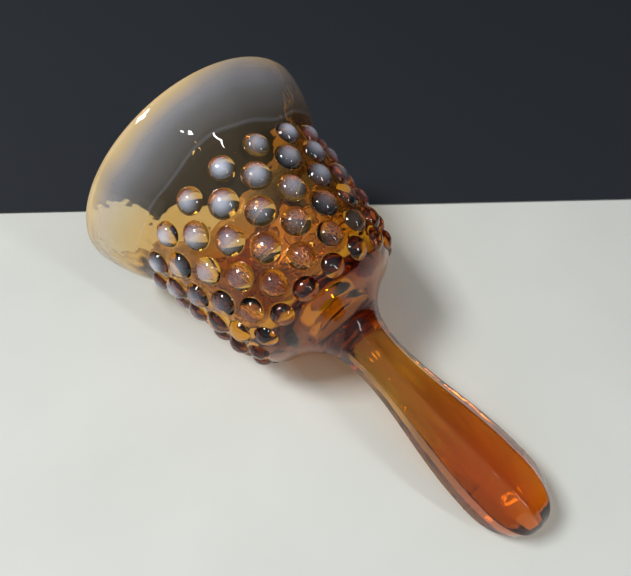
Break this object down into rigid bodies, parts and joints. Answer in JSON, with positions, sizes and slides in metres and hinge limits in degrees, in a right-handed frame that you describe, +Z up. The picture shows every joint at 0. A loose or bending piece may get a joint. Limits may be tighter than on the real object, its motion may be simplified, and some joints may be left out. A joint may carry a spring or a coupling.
{
  "type": "glass bell",
  "caption": "Pressed glass hand bell lying on its side, with a smooth flared lip, a hobnail skirt, a panelled handle and a bead clapper on a chain.",
  "frame": {"origin": "Centre of the underside of the box round the lying bell, on the table that two hobs and a handle panel rest on.", "axes": "+Z up. +X runs from the mouth to the handle and is the longest extent; the bell's own axis lies in the XZ plane and dips 13.45 degrees towards the handle. +Y is across. To stand the bell on its rim, turn it so that the axis of the mount standing_rim points down."},
  "size_m": [0.1559, 0.086, 0.0843],
  "materials": {
    "amber_glass": "gloss",
    "plaster": "matte",
    "brass_wire": "satin",
    "bead_glass": "gloss"
  },
  "bodies": {
    "bell": {"glass_bell": "amber_glass", "cement_plug": "plaster", "hanger_loop": "brass_wire"},
    "ring": {"jump_ring": "brass_wire"},
    "chain": {"chain_link_1": "brass_wire", "chain_link_2": "brass_wire", "chain_link_3": "brass_wire", "chain_link_4": "brass_wire", "chain_link_5": "brass_wire", "chain_link_6": "brass_wire", "eye_pin": "brass_wire"},
    "bead": {"clapper_bead": "bead_glass"}
  },
  "joints": [
    {"name": "clapper_turn", "type": "hinge", "parent": "bell", "child": "ring", "pos_m": [-0.01228, 0, 0.02938], "axis": [0.9726, 0, -0.2326], "range_deg": [-35, 35]},
    {"name": "clapper_swing", "type": "hinge", "parent": "ring", "child": "chain", "pos_m": [-0.01447, 0, 0.0299], "axis": [0, 1, 0], "range_deg": [0, 76.02]},
    {"name": "bead_spin", "type": "hinge", "parent": "chain", "child": "bead", "pos_m": [-0.04756, 0, 0.01474], "axis": [-0.9423, 0, -0.3346], "continuous": true}
  ]
}
